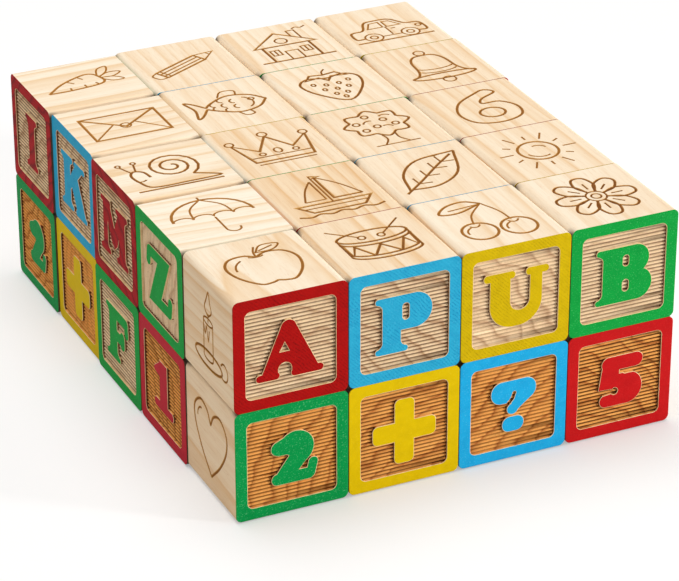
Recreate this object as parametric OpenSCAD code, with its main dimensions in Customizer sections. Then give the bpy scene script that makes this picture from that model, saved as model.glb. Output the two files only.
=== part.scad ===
// A set of wooden alphabet blocks, stacked in two layers.
// Every block is one cube of pine, cut from a moulded strip with four rounded long edges.
// Its two sawn ends carry a painted rim and a painted raised character over a sunk, ribbed panel.

/* [Block] */
// Edge length of the wood of every block
block_size = 30; // [24:0.5:50]
// Radius of the four long edges that the strip is moulded with
edge_r = 1.6; // [0.5:0.1:4]

/* [Relief ends] */
// Width of the painted rim round each end
rim_w = 3.2; // [2:0.1:4.5]
// Corner radius of the sunk panel inside the rim
panel_r = 1.5; // [0.5:0.1:3]
// Depth of the sunk panel, from the painted end to the bottom of its grooves
panel_depth = 0.9; // [0.8:0.1:2]
// Height of the ribs that cross the panel
rib_h = 0.5; // [0.2:0.1:0.7]
// Distance from one rib to the next
rib_pitch = 1; // [0.8:0.1:2]
// Thickness of the paint on the rim and on the character
paint_t = 0.05; // [0.05:0.05:0.3]

/* [Characters] */
// Height of the capitals, with the digits in proportion
cap_h = 15.6; // [12:0.2:17]
// Width of the thick strokes
stem = 5; // [4:0.1:5.4]
// Width of the thin strokes
hair = 3.4; // [2.6:0.1:4]
// Thickness of the serifs
serif_t = 1.9; // [1.5:0.1:2.4]
// How far a serif reaches past its stem
serif_reach = 1.9; // [1.5:0.1:2.4]
// Radius of the hollow curve where a stem flares into its serif
flare_r = 1.4; // [1:0.1:2]
// Width of the small openings inside closed letters
eye_w = 2.1; // [1.4:0.1:2.6]

/* [Stack] */
// Gap between the painted ends of neighbouring blocks of a layer
block_gap = 0.1; // [0.1:0.1:2]
// How far the rows stand out of line with each other
stagger = 0.3; // [0:0.1:1]

/* [Hidden] */
$fn = 48;

WOOD = "#ecd9b0";
PALE_PANEL = "#c9a877";
SCORCHED_PANEL = "#a5682f";
RED = "#c21a1f";
BLUE = "#2a9fd6";
YELLOW = "#d9b90c";
GREEN = "#0f9d49";

// Where a block's letter end points, as a turn about the vertical
FRONT = 0;
RIGHT = 90;
BACK = 180;
LEFT = 270;

// How the ribs of a block lie where they do not lie level
UPRIGHT = 90;

// One row of the list per block: name, letter, its paint, sign, its paint, where the letter points,
// and how the ribs lie if they are not level.
// Blocks go from left to right, rows from front to back, and the upper layer comes first.
COLUMNS = 4;
ROWS = 5;
BLOCKS = [
    ["block_a", "A", RED, "7", GREEN, FRONT],
    ["block_p", "P", BLUE, "4", YELLOW, FRONT],
    ["block_u", "U", YELLOW, "9", BLUE, FRONT],
    ["block_b", "B", GREEN, "3", RED, FRONT],

    ["block_z", "Z", GREEN, "8", RED, LEFT, UPRIGHT],
    ["block_c", "C", RED, "6", BLUE, FRONT],
    ["block_d", "D", BLUE, "0", GREEN, FRONT],
    ["block_e", "E", YELLOW, "=", RED, FRONT],

    ["block_m", "M", RED, "5", BLUE, LEFT],
    ["block_g", "G", GREEN, "1", YELLOW, FRONT],
    ["block_h", "H", BLUE, "x", RED, FRONT],
    ["block_j", "J", RED, "2", GREEN, FRONT],

    ["block_k", "K", BLUE, "9", YELLOW, LEFT],
    ["block_l", "L", YELLOW, "?", BLUE, FRONT],
    ["block_n", "N", GREEN, "7", RED, FRONT],
    ["block_o", "O", RED, "-", GREEN, FRONT],

    ["block_i", "I", RED, "3", GREEN, LEFT],
    ["block_q", "Q", BLUE, "8", YELLOW, FRONT],
    ["block_r", "R", GREEN, "6", BLUE, FRONT],
    ["block_s", "S", YELLOW, "4", RED, FRONT],

    ["block_t", "T", BLUE, "2", GREEN, BACK],
    ["block_v", "V", RED, "+", YELLOW, BACK],
    ["block_w", "W", GREEN, "?", BLUE, BACK],
    ["block_x", "X", YELLOW, "5", RED, BACK],

    ["block_y", "Y", GREEN, "1", RED, RIGHT],
    ["block_a_second", "A", BLUE, "0", YELLOW, BACK],
    ["block_e_second", "E", RED, "3", GREEN, BACK],
    ["block_o_second", "O", GREEN, "9", RED, LEFT],

    ["block_f", "F", GREEN, "6", YELLOW, LEFT],
    ["block_i_second", "I", YELLOW, "+", BLUE, BACK],
    ["block_u_second", "U", BLUE, "4", RED, BACK],
    ["block_s_second", "S", RED, "=", BLUE, LEFT],

    ["block_t_second", "T", RED, "+", YELLOW, RIGHT],
    ["block_r_second", "R", BLUE, "5", GREEN, BACK],
    ["block_n_second", "N", YELLOW, "-", RED, BACK],
    ["block_l_second", "L", BLUE, "7", GREEN, LEFT],

    ["block_d_second", "D", YELLOW, "2", GREEN, RIGHT],
    ["block_h_second", "H", RED, "8", BLUE, BACK],
    ["block_c_second", "C", GREEN, "x", YELLOW, BACK],
    ["block_m_second", "M", BLUE, "1", YELLOW, LEFT]
];

panel_size = block_size - 2 * rim_w;
pitch = block_size + 2 * paint_t + block_gap;
// How far a row of the upper layer may stand off the row below it, so that a block still lifts out freely
layer_shift = block_gap / 2;
// Half the height of the capitals and of the digits, in steps of the grid that they are drawn on
TOP = 7.8;
LOW_TOP = 7.2;
// Size of a step of that grid, and the stroke sizes counted in steps
grid = cap_h / (2 * TOP);
STEM = stem / grid;
HAIR = hair / grid;
SERIF_T = serif_t / grid;
SERIF_REACH = serif_reach / grid;
FLARE_R = flare_r / grid;
EYE_W = eye_w / grid;
// Height of the middle of the serifs above and below the middle of a letter
SERIF_Y = TOP - SERIF_T / 2;
// What stands proud of a cut, so that no two faces coincide
past = 1;

// Shapes that the characters are drawn with, on a grid where a capital reaches TOP above the middle

module rounded_square(w, h, r) {
    square([w - 2 * r, h], center = true);
    square([w, h - 2 * r], center = true);
    for (x = [-1, 1], y = [-1, 1])
        translate([x * (w / 2 - r), y * (h / 2 - r)]) circle(r);
}

// A stroke with round ends
module stroke(from, to, w) {
    along = to - from;
    translate(from) rotate(atan2(along.y, along.x)) {
        translate([0, -w / 2]) square([norm(along), w]);
        circle(d = w);
        translate([norm(along), 0]) circle(d = w);
    }
}

module dot(at, d) {
    translate(at) circle(d = d);
}

// A slanting stroke with level ends, of width w across
module slant(from, to, w) {
    polygon([from - [w / 2, 0], from + [w / 2, 0], to + [w / 2, 0], to - [w / 2, 0]]);
}

// A serif along the head (side 1) or the foot (side -1) of a letter, from one x to another
module slab(x0, x1, side, t = SERIF_T) {
    y = side * (TOP - t / 2);
    stroke([x0 + t / 2, y], [x1 - t / 2, y], t);
}

// An upright that flares into a serif at its head and at its foot
module upright(x, w = STEM, head = true, foot = true) {
    wide = w + 2 * SERIF_REACH - SERIF_T;
    low = foot ? -TOP + SERIF_T + FLARE_R : -TOP - FLARE_R;
    high = head ? TOP - SERIF_T - FLARE_R : TOP + FLARE_R;
    difference() {
        translate([x - wide / 2, -TOP]) square([wide, 2 * TOP]);
        for (side = [-1, 1])
            stroke([x + side * (w / 2 + FLARE_R), low], [x + side * (w / 2 + FLARE_R), high], 2 * FLARE_R);
    }
    if (head) slab(x - w / 2 - SERIF_REACH, x + w / 2 + SERIF_REACH, 1);
    if (foot) slab(x - w / 2 - SERIF_REACH, x + w / 2 + SERIF_REACH, -1);
}

// The solid of a bowl, flat at x0 and rounded where it reaches x1
module bowl(x0, x1, y0, y1) {
    r = 0.49 * min(y1 - y0, x1 - x0);
    translate([x0, y0]) square([x1 - r - x0, y1 - y0]);
    translate([x0, y0 + r]) square([x1 - x0, y1 - y0 - 2 * r]);
    for (y = [y0 + r, y1 - r]) translate([x1 - r, y]) circle(r);
}

// The upright opening inside a bowl
module eye(at, w, h) {
    reach = (h - w) / 2;
    stroke(at - [0, reach], at + [0, reach], w);
}

// A round letter with its opening
module ring(w, h, eye_wide, eye_high) {
    difference() {
        rounded_square(w, h, 0.47 * min(w, h));
        eye([0, 0], eye_wide, eye_high);
    }
}

// An arc of a stroke about a centre, from one angle to a larger one, with round ends
module arc(at, r, w, from, to) {
    steps = ceil((to - from) / 45);
    far = 2 * (r + w);
    turn = (to - from) / steps;
    translate(at) {
        intersection() {
            difference() {
                circle(r + w / 2);
                circle(r - w / 2);
            }
            polygon([[0, 0], for (i = [0 : steps]) far * [cos(from + i * turn), sin(from + i * turn)]]);
        }
        for (a = [from, to]) dot(r * [cos(a), sin(a)], w);
    }
}

// Letters

module letter_a() {
    difference() {
        union() {
            polygon([[-2.7, 6.2], [1.5, 6.2], [7.5, -6.4], [-8, -6.4]]);
            dot([-0.6, TOP - 2.1], 4.3);
        }
        stroke([-1.6, -5.3], [-1.6, -9], 3.4);
        polygon([[-2.9, -0.5], [-0.5, -0.5], [-1.6, 1.8]]);
    }
    slab(-9.3, -2.9, -1, 1.15 * SERIF_T);
    slab(-0.1, 8.6, -1, 1.15 * SERIF_T);
}

module letter_b() {
    difference() {
        union() {
            upright(-3.6);
            bowl(-3.6, 7.2, -0.6, TOP);
            bowl(-3.6, 8.2, -TOP, 1);
        }
        eye([0.5, 3.7], 0.75 * EYE_W, 3);
        eye([0.6, -3.2], 0.8 * EYE_W, 3.2);
    }
}

module letter_c() {
    difference() {
        ring(15.4, 2 * TOP, 2 * EYE_W, 2 * TOP - 2 * HAIR);
        polygon([[0, -1.6], [9, -4], [9, 2.8], [0, 1.6]]);
    }
    dot([5.1, 3.7], 0.9 * STEM);
}

module letter_d() {
    difference() {
        union() {
            upright(-3.9);
            bowl(-3.9, 8, -TOP, TOP);
        }
        eye([1, 0], 1.5 * EYE_W, 2 * TOP - 1.9 * HAIR);
    }
}

// An arm that ends in a drop, from an upright at x0 to x1, at height y
module dropped_arm(x0, x1, y, drop) {
    stroke([x0, y], [x1 - HAIR / 2, y], HAIR);
    stroke([x1 - HAIR / 2, y], [x1 - HAIR / 2 + 0.3, y + drop], 0.86 * HAIR);
}

// The short middle arm of a letter
module middle_arm(x0, x1, y, w = 0.8 * HAIR) {
    stroke([x0, y], [x1, y], w);
    stroke([x1, y - 1], [x1, y + 1], w);
}

module letter_e() {
    upright(-3.9);
    dropped_arm(-3.9, 7, TOP - HAIR / 2, -2.4);
    dropped_arm(-3.9, 7.4, -TOP + HAIR / 2, 2.6);
    middle_arm(-3.9, 2.8, 0.2);
}

module letter_f() {
    upright(-3.2, 1.12 * STEM);
    dropped_arm(-3.2, 7.6, TOP - HAIR / 2, -2.8);
    middle_arm(-3.2, 3.2, -0.1, HAIR);
}

module letter_g() {
    difference() {
        ring(15.4, 2 * TOP, 2 * EYE_W, 2 * TOP - 2 * HAIR);
        polygon([[0, -0.6], [9, -0.6], [9, 3.2], [0, 1.8]]);
    }
    dot([5.1, 4], 0.9 * STEM);
    translate([2.4, -6]) square([STEM, 5.4]);
    stroke([2.2, -0.9], [7.6, -0.9], SERIF_T);
}

module letter_h() {
    upright(-4.7, 0.94 * STEM);
    upright(4.7, 0.94 * STEM);
    square([9, 0.85 * HAIR], center = true);
}

module letter_i() {
    upright(0);
}

module letter_j() {
    r = 3.2;
    low = -TOP + r + STEM / 2;
    difference() {
        upright(2.4, foot = false);
        translate([-TOP, -TOP - 1]) square([2 * TOP, low + TOP + 1]);
    }
    arc([2.4 - r, low], r, STEM, 195, 360);
    dot([-4, low + 0.4], STEM);
}

module letter_k() {
    upright(-4.5);
    polygon([[-2.6, -2.2], [-2.6, 2], [1.4, 6.6], [7.2, 6.6]]);
    polygon([[-2, 0.4], [3.4, 3.2], [8.9, -6.6], [2.2, -6.6]]);
    slab(0.5, 8.6, 1);
    slab(1.2, 9.5, -1);
}

module letter_l() {
    upright(-2.9);
    dropped_arm(-2.9, 7.6, -TOP + HAIR / 2, 3);
}

module letter_m() {
    upright(-6, 0.95 * HAIR, head = false);
    upright(5.4, 0.9 * STEM);
    polygon([[-7.6, 7], [-2.6, 7], [0.2, 1.5], [3.2, 7], [6, 7], [2.2, -3.2], [0.2, -4.8], [-1.9, -3.4], [-5, 2.6]]);
    slab(-9, -2, 1);
}

module letter_n() {
    upright(-6, 0.85 * HAIR, head = false);
    upright(6.2, 0.85 * HAIR, foot = false);
    polygon([[-7.4, 7], [-2.2, 7], [7.6, -TOP], [3.4, -TOP]]);
    slab(-9.2, -1.6, 1);
}

module letter_o() {
    ring(15.8, 2 * TOP, 2 * EYE_W, 2 * TOP - 1.9 * HAIR);
}

module letter_p() {
    difference() {
        union() {
            upright(-3.6, 1.04 * STEM);
            bowl(-3.6, 7.4, -1.9, TOP);
        }
        eye([0.2, 3.1], 0.8 * EYE_W, 4.4);
    }
}

module letter_q() {
    letter_o();
    stroke([0.4, -3.6], [6, -6.7], 0.75 * HAIR);
}

module letter_r() {
    difference() {
        union() {
            upright(-4);
            bowl(-4, 6.6, -1.6, TOP);
        }
        eye([0.8, 3.2], 0.85 * EYE_W, 4);
    }
    polygon([[-0.6, -1], [4.4, -0.6], [8.2, -6.6], [2.8, -6.6]]);
    slab(2.2, 9.2, -1);
}

module letter_s() {
    w = 0.8 * STEM;
    r = (2 * TOP - w) / 4;
    for (turn = [0, 180]) rotate(turn) {
        arc([-2, r], r, w, 90, 270);
        stroke([-2, 2 * r], [3.4, 2 * r], w);
        dot([4.3, 1.72 * r], 1.1 * w);
        stroke([-2, 0], [2, 0], w);
    }
}

module letter_t() {
    difference() {
        upright(0);
        translate([-TOP, TOP - HAIR]) square([2 * TOP, TOP]);
    }
    translate([-STEM / 2, 0]) square([STEM, TOP - HAIR / 2]);
    stroke([-6.4, TOP - HAIR / 2], [6.4, TOP - HAIR / 2], HAIR);
    for (side = [-1, 1])
        stroke([side * 6.4, TOP - HAIR / 2], [side * 6.9, TOP - HAIR / 2 - 2.8], 0.8 * HAIR);
}

module letter_u() {
    difference() {
        union() {
            rounded_square(14.6, 2 * TOP, 6.6);
            translate([-7.3, 0]) square([14.6, SERIF_Y]);
        }
        stroke([1.1, -0.7], [1.1, 2 * TOP], 5.2);
    }
    slab(-9.1, -0.2, 1, 1.2 * SERIF_T);
    slab(2.5, 9.1, 1, 1.2 * SERIF_T);
}

module letter_v() {
    slant([0.2, -TOP], [-5.2, SERIF_Y], 1.2 * STEM);
    slant([0.8, -TOP], [5.2, SERIF_Y], 0.75 * STEM);
    slab(-9, -1.4, 1);
    slab(2, 8.8, 1);
}

module letter_w() {
    slant([-3.4, -TOP], [-6.4, SERIF_Y], 0.9 * STEM);
    slant([-3, -TOP], [0, 5], 0.62 * STEM);
    slant([3.6, -TOP], [0.4, 6], 0.9 * STEM);
    slant([3.8, -TOP], [6.6, SERIF_Y], 0.66 * STEM);
    slab(-9.4, -3, 1);
    slab(4, 9.4, 1);
}

module letter_x() {
    slant([4.8, -SERIF_Y], [-4.8, SERIF_Y], 1.24 * STEM);
    slant([-4.8, -SERIF_Y], [4.8, SERIF_Y], 0.8 * STEM);
    slab(-8.8, -1.2, 1);
    slab(1.6, 8.4, 1);
    slab(-8.4, -1.6, -1);
    slab(1.2, 8.8, -1);
}

module letter_y() {
    difference() {
        upright(0);
        translate([-TOP, -1.4]) square([2 * TOP, 2 * TOP]);
    }
    slant([0, -1.6], [-5, SERIF_Y], 1.1 * STEM);
    slant([0.6, -1.6], [5, SERIF_Y], 0.8 * STEM);
    slab(-9, -1.6, 1);
    slab(1.8, 8.8, 1);
}

module letter_z() {
    slant([-3.8, -TOP], [3.8, TOP], 1.4 * STEM);
    for (turn = [0, 180]) rotate(turn) {
        translate([-6.6, TOP - HAIR]) square([12, HAIR]);
        stroke([-6.4, TOP - HAIR / 2], [-6.9, TOP - HAIR / 2 - 3], 0.86 * HAIR);
    }
}

// Digits and signs, a little lower than the capitals

module digit_0() {
    ring(13, 2 * LOW_TOP, 1.3 * EYE_W, 2 * LOW_TOP - 1.9 * HAIR);
}

module digit_1() {
    difference() {
        translate([0, TOP - LOW_TOP]) upright(0.6, 1.04 * STEM, head = false);
        translate([-TOP, LOW_TOP]) square([2 * TOP, TOP]);
    }
    polygon([[-4.6, 2.7], [-4.9, 4.5], [-1, LOW_TOP], [0.6, LOW_TOP], [0.6, 2], [-2, 2.4]]);
    dot([-4.6, 3.6], 1.8);
    slab_y = -LOW_TOP + 0.7 * SERIF_T;
    stroke([-4.4, slab_y], [5.6, slab_y], 1.4 * SERIF_T);
}

module digit_2() {
    base_y = -LOW_TOP + HAIR / 2;
    difference() {
        dot([1, LOW_TOP - 4.9], 9.8);
        polygon([[-9, 0.9], [-1.4, 0.9], [-0.6, 0.3], [-4.4, -4.4], [-9, -4.4]]);
    }
    stroke([-3.6, 3.1], [-0.6, 4.4], 0.82 * STEM);
    polygon([[-0.9, 0.6], [5.4, 0.2], [1.2, base_y + 0.8], [-5.2, base_y + 0.8], [-5.4, base_y]]);
    stroke([-5.6 + HAIR / 2, base_y], [4.4, base_y], HAIR);
    stroke([4.9, base_y], [5.6, base_y + 3], 0.8 * HAIR);
}

module digit_3() {
    difference() {
        union() {
            bowl(-3.6, 5.4, -0.8, LOW_TOP);
            bowl(-3.6, 6.2, -LOW_TOP, 1);
        }
        for (side = [-1, 1]) {
            stroke([-9, side * 2.6], [-0.9, side * 3.1], 1.9);
            dot([-5, side * 1.4], 4.6);
        }
        translate([-9, -5]) square([6, 10]);
    }
    for (side = [-1, 1]) stroke([-3.6, side * 5], [-1.6, side * (LOW_TOP - 2)], 4);
}

module digit_4() {
    post = 1.6;
    bar_y = -2;
    difference() {
        polygon([[-6.6, bar_y - HAIR / 2], [-6.6, bar_y + HAIR / 4], [0.4, LOW_TOP], [4, LOW_TOP], [4, -3]]);
        polygon([[-2.6, bar_y + HAIR / 2], [-0.8, bar_y + HAIR / 2], [-0.8, bar_y + HAIR / 2 + 2.6]]);
    }
    translate([post - STEM / 2, -LOW_TOP + 1]) square([STEM, 2 * LOW_TOP - 1]);
    stroke([-5, bar_y], [5.2, bar_y], HAIR);
    stroke([post - STEM / 2 - 0.5, -LOW_TOP + 1], [post + STEM / 2 + 0.5, -LOW_TOP + 1], 2);
}

module digit_5() {
    difference() {
        union() {
            bowl(-2.4, 6.7, -LOW_TOP, 2);
            polygon([[-6, -2], [-2, -2.2], [0, 2], [0, 5], [-5, 5]]);
            stroke([-3.7, -LOW_TOP + 1.9], [-1, -LOW_TOP + 1.9], 3.8);
        }
        dot([-1.3, -2.9], 1.9);
        stroke([-9, -3.6], [-1.4, -2.9], 0.9);
        stroke([1.6, 2.1], [9, 2.1], 0.9);
    }
    stroke([-3.2, LOW_TOP - 2.1], [4.6, LOW_TOP - 2.1], 4.2);
}

module digit_6() {
    difference() {
        union() {
            dot([0.2, -2], 2 * (LOW_TOP - 2));
            arc([3.6, -1.4], 6.4, 0.86 * STEM, 112, 180);
        }
        eye([0.2, -2.2], EYE_W, 3.6);
    }
    dot([2.4, LOW_TOP - 2.4], 0.94 * STEM);
}

module digit_7() {
    slant([-1.6, -LOW_TOP], [3.4, LOW_TOP], 1.1 * STEM);
    translate([-5.6, LOW_TOP - 1.1 * HAIR]) square([9, 1.1 * HAIR]);
    stroke([-5.2, LOW_TOP - HAIR / 2], [-5.6, LOW_TOP - HAIR / 2 - 2.6], 0.86 * HAIR);
}

module digit_8() {
    difference() {
        union() {
            translate([0, 3.4]) rounded_square(10.8, 7.6, 3.7);
            translate([0, -2.9]) rounded_square(12.4, 8.6, 4.2);
        }
        eye([0, 3.6], 0.8 * EYE_W, 2.2);
        eye([0, -2.9], EYE_W, 2.8);
    }
}

module digit_9() {
    rotate(180) digit_6();
}

module sign_plus() {
    rounded_square(17.4, 1.1 * STEM, 0.3 * STEM);
    rounded_square(1.1 * STEM, 18.2, 0.3 * STEM);
}

module sign_minus() {
    rounded_square(15.4, 1.1 * STEM, 0.3 * STEM);
}

module sign_times() {
    for (turn = [45, 135]) rotate(turn) rounded_square(17.4, 1.1 * STEM, 0.3 * STEM);
}

module sign_equals() {
    for (side = [-1, 1])
        translate([0, side * 0.72 * STEM]) rounded_square(14.4, 0.8 * STEM, 0.3 * STEM);
}

module sign_question() {
    difference() {
        union() {
            translate([0, LOW_TOP - 3.2]) rounded_square(12.8, 6.4, 3.1);
            polygon([[6.2, 3.4], [5.4, 1.6], [3, -0.2], [0.6, -2.2], [-1.2, -1.2], [0, 3]]);
            dot([-0.2, -1], 0.66 * STEM);
        }
        stroke([0.2, 3.4], [-0.3, 1.9], 0.9);
        stroke([-0.3, 1.9], [-2.6, -0.6], 0.9);
    }
    translate([0, -LOW_TOP + 1.9]) rounded_square(6.2, 4.4, 2.1);
}

module character(name) {
    if (name == "A") letter_a();
    if (name == "B") letter_b();
    if (name == "C") letter_c();
    if (name == "D") letter_d();
    if (name == "E") letter_e();
    if (name == "F") letter_f();
    if (name == "G") letter_g();
    if (name == "H") letter_h();
    if (name == "I") letter_i();
    if (name == "J") letter_j();
    if (name == "K") letter_k();
    if (name == "L") letter_l();
    if (name == "M") letter_m();
    if (name == "N") letter_n();
    if (name == "O") letter_o();
    if (name == "P") letter_p();
    if (name == "Q") letter_q();
    if (name == "R") letter_r();
    if (name == "S") letter_s();
    if (name == "T") letter_t();
    if (name == "U") letter_u();
    if (name == "V") letter_v();
    if (name == "W") letter_w();
    if (name == "X") letter_x();
    if (name == "Y") letter_y();
    if (name == "Z") letter_z();
    if (name == "0") digit_0();
    if (name == "1") digit_1();
    if (name == "2") digit_2();
    if (name == "3") digit_3();
    if (name == "4") digit_4();
    if (name == "5") digit_5();
    if (name == "6") digit_6();
    if (name == "7") digit_7();
    if (name == "8") digit_8();
    if (name == "9") digit_9();
    if (name == "+") sign_plus();
    if (name == "-") sign_minus();
    if (name == "x") sign_times();
    if (name == "=") sign_equals();
    if (name == "?") sign_question();
}

// The block

// Ribs across the panel, with their valleys at height 0
module ribs(turn) {
    half = rib_pitch / 2;
    count = floor(panel_size / rib_pitch / 2) + 1;
    outline = [[-half, -past], [half, -past], [half, 0], [0, rib_h], [-half, 0]];
    rotate(turn) for (i = [-count : count])
        translate([-panel_size, i * rib_pitch, 0]) rotate([90, 0, 90])
            linear_extrude(2 * panel_size) polygon(outline);
}

// What is cut from an end to leave its rim, its ribs and its character
module sunk_panel(name, rib_turn) {
    difference() {
        linear_extrude(panel_depth + past) difference() {
            rounded_square(panel_size, panel_size, panel_r);
            scale(grid) character(name);
        }
        ribs(rib_turn);
    }
}

// A block about its own middle, with the letter end towards +Z
module alphabet_block(letter, letter_paint, sign, sign_paint, rib_turn) {
    end_z = block_size / 2;
    floor_z = end_z + paint_t - panel_depth;
    difference() {
        union() {
            color(WOOD) linear_extrude(block_size, center = true)
                rounded_square(block_size, block_size, edge_r);
            color(letter_paint) translate([0, 0, end_z])
                linear_extrude(paint_t) rounded_square(block_size, block_size, edge_r);
            color(sign_paint) translate([0, 0, -end_z - paint_t])
                linear_extrude(paint_t) rounded_square(block_size, block_size, edge_r);
        }
        color(PALE_PANEL) translate([0, 0, floor_z]) sunk_panel(letter, rib_turn);
        color(SCORCHED_PANEL) rotate([0, 180, 0]) translate([0, 0, floor_z]) sunk_panel(sign, rib_turn);
    }
}

// A block of the list in its place in the stack
module placed_block(index) {
    b = BLOCKS[index];
    rib_turn = is_undef(b[6]) ? 0 : b[6];
    layer_count = COLUMNS * ROWS;
    upper = index < layer_count;
    row = floor(index % layer_count / COLUMNS);
    column = index % COLUMNS;
    out_of_line = stagger * sin(130 * row + 60) + (upper ? layer_shift * sin(97 * row + 250) : 0);
    translate([
        (column - (COLUMNS - 1) / 2) * pitch + out_of_line,
        (row - (ROWS - 1) / 2) * pitch,
        block_size / 2 + (upper ? block_size : 0)
    ])
        rotate([90, 0, b[5]]) alphabet_block(b[1], b[2], b[3], b[4], rib_turn);
}

for (index = [0 : len(BLOCKS) - 1])
    placed_block(index);
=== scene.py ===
import math
import random

import bmesh
import bpy
import numpy as np
from mathutils import Matrix, Vector
from mathutils.geometry import delaunay_2d_cdt


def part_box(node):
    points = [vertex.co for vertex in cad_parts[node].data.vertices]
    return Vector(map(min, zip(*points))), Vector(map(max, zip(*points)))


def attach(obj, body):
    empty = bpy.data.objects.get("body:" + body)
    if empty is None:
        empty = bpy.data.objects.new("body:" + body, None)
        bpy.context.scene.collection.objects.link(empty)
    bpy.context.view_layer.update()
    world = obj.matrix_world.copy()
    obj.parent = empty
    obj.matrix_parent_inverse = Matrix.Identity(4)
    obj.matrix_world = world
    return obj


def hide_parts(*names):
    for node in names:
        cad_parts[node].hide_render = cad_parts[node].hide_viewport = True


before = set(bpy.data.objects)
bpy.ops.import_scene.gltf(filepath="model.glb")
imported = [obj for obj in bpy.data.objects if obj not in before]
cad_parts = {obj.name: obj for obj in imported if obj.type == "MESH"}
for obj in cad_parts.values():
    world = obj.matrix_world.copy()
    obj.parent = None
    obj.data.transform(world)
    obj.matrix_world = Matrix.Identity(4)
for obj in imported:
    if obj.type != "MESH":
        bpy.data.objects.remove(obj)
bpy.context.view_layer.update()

# Sizes of a block in millimetres, as in the solids
HALF = 15.0
END = 15.05
EDGE_R = 1.6
FLAT = HALF - EDGE_R
PANEL_DEEP = 0.9
RIB_HIGH = 0.5
MM = 0.001

# What the looks add, in millimetres: worn edges of the relief, burnt lines, and painted shade near the ends
# of sides that lie against a neighbour
WORN_WIDE = 0.13
WORN_DEEP = 0.08
THICK_LINE = 0.82
THIN_LINE = 0.58
LONG_STROKE = 18
LINE_DEEP = 0.26
PICTURE_SCALE = 1.17
GAP_SHADE_LONG = 2.8
GAP_SHADE_FULL = 0.5

# Share of a burnt line's width that is flat at its bottom, and how far into a line the burn starts
LINE_BOTTOM = 0.4
BURN_START = 0.02

# Limits of the mesh code, in millimetres: points that count as one in a line, in a solid and in a finished
# block, points that count as on a plane, and how far inside an edge a panel's faces lie
SAME_IN_LINE = 0.05
SAME_IN_SOLID = 0.002
SAME_IN_BLOCK = 0.0005
ON_PLANE = 0.004
JUST_INSIDE = 0.1
PANEL_MARGIN = 0.6

# How far faces point to an end, to a plain side, out of a panel and across its ribs, as cosines
FACES_END = 0.99
FACES_SIDE = 0.999
FACES_OUT = 0.1
FACES_ACROSS = 0.45

# How far the sharp corner of a line or of a worn edge reaches, and up to which angle in degrees round faces
# are shaded as one
LINE_CORNER = 0.35
EDGE_CORNER = 0.4
SMOOTH_BELOW = 28

# Where the random draws of the blocks start
SEED = 100

# The stack, and where the letter end of a block points in it
COLUMNS = 4
ROWS = 5
FRONT = 0
RIGHT = 90
BACK = 180
LEFT = 270
UP = Vector((0, 0, 1))

# The tables give the names of the nodes without this
PREFIX = "block_"

# Blocks whose ribs stand upright
UPRIGHT_RIBS = ("z",)

# Each block: its name, paint of the letter end, paint of the sign end, where the letter points.
# The upper layer comes first, rows from front to back, blocks from left to right.
LAYOUT = [
    ("a", "red", "green", FRONT), ("p", "blue", "yellow", FRONT),
    ("u", "yellow", "blue", FRONT), ("b", "green", "red", FRONT),
    ("z", "green", "red", LEFT), ("c", "red", "blue", FRONT),
    ("d", "blue", "green", FRONT), ("e", "yellow", "red", FRONT),
    ("m", "crimson", "blue", LEFT), ("g", "green", "yellow", FRONT),
    ("h", "blue", "red", FRONT), ("j", "red", "green", FRONT),
    ("k", "blue", "yellow", LEFT), ("l", "yellow", "blue", FRONT),
    ("n", "green", "red", FRONT), ("o", "red", "green", FRONT),
    ("i", "crimson", "green", LEFT), ("q", "blue", "yellow", FRONT),
    ("r", "green", "blue", FRONT), ("s", "yellow", "red", FRONT),
    ("t", "blue", "green", BACK), ("v", "red", "yellow", BACK),
    ("w", "green", "blue", BACK), ("x", "yellow", "red", BACK),
    ("y", "green", "crimson", RIGHT), ("a_second", "blue", "yellow", BACK),
    ("e_second", "red", "green", BACK), ("o_second", "green", "red", LEFT),
    ("f", "green", "yellow", LEFT), ("i_second", "yellow", "blue", BACK),
    ("u_second", "blue", "red", BACK), ("s_second", "red", "blue", LEFT),
    ("t_second", "red", "yellow", RIGHT), ("r_second", "blue", "green", BACK),
    ("n_second", "yellow", "red", BACK), ("l_second", "blue", "green", LEFT),
    ("d_second", "yellow", "green", RIGHT), ("h_second", "red", "blue", BACK),
    ("c_second", "green", "yellow", BACK), ("m_second", "blue", "yellow", LEFT),
]

# Pictures on top of the upper layer, how dark their lines are burnt, and how warm the wood is there
TOP_PICTURES = {
    "a": ("apple", 0.5, 0.25), "p": ("drum", 0.75, 0.5),
    "u": ("cherries", 0.35, 0.2), "b": ("flower", 0.85, 0.25),
    "z": ("umbrella", 0.3, 0.0), "c": ("sailboat", 0.65, 0.7),
    "d": ("leaf", 0.7, 0.4), "e": ("sun", 0.35, 0.4),
    "m": ("snail", 0.7, 0.1), "g": ("crown", 0.6, 0.5),
    "h": ("tree", 0.75, 0.45), "j": ("six", 0.55, 0.5),
    "k": ("envelope", 0.3, 0.25), "l": ("fish", 0.5, 0.3),
    "n": ("strawberry", 0.75, 0.3), "o": ("bell", 0.6, 0.5),
    "i": ("carrot", 0.15, 0.15), "q": ("pencil", 0.4, 0.35),
    "r": ("house", 0.8, 0.3), "s": ("car", 0.5, 0.35),
}
# Where the pith lies from the middle of a block, as an angle on its letter end and a distance, and how clear
# the rings are, for blocks whose rings show in the photograph
RINGS = {
    "a": (75, 44, 0.7), "p": (58, 60, 0.95), "u": (52, 38, 0.75), "b": (98, 70, 0.25),
    "i": (130, 60, 0.9), "k": (170, 45, 0.8), "m": (60, 55, 0.9), "z": (165, 60, 0.5),
    "t": (20, 40, 0.7), "v": (70, 30, 0.8), "w": (55, 65, 0.95), "x": (125, 34, 0.9),
    "y": (150, 34, 0.8), "f": (80, 60, 0.3), "c": (20, 50, 1.0), "j": (200, 30, 0.6),
}
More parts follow.
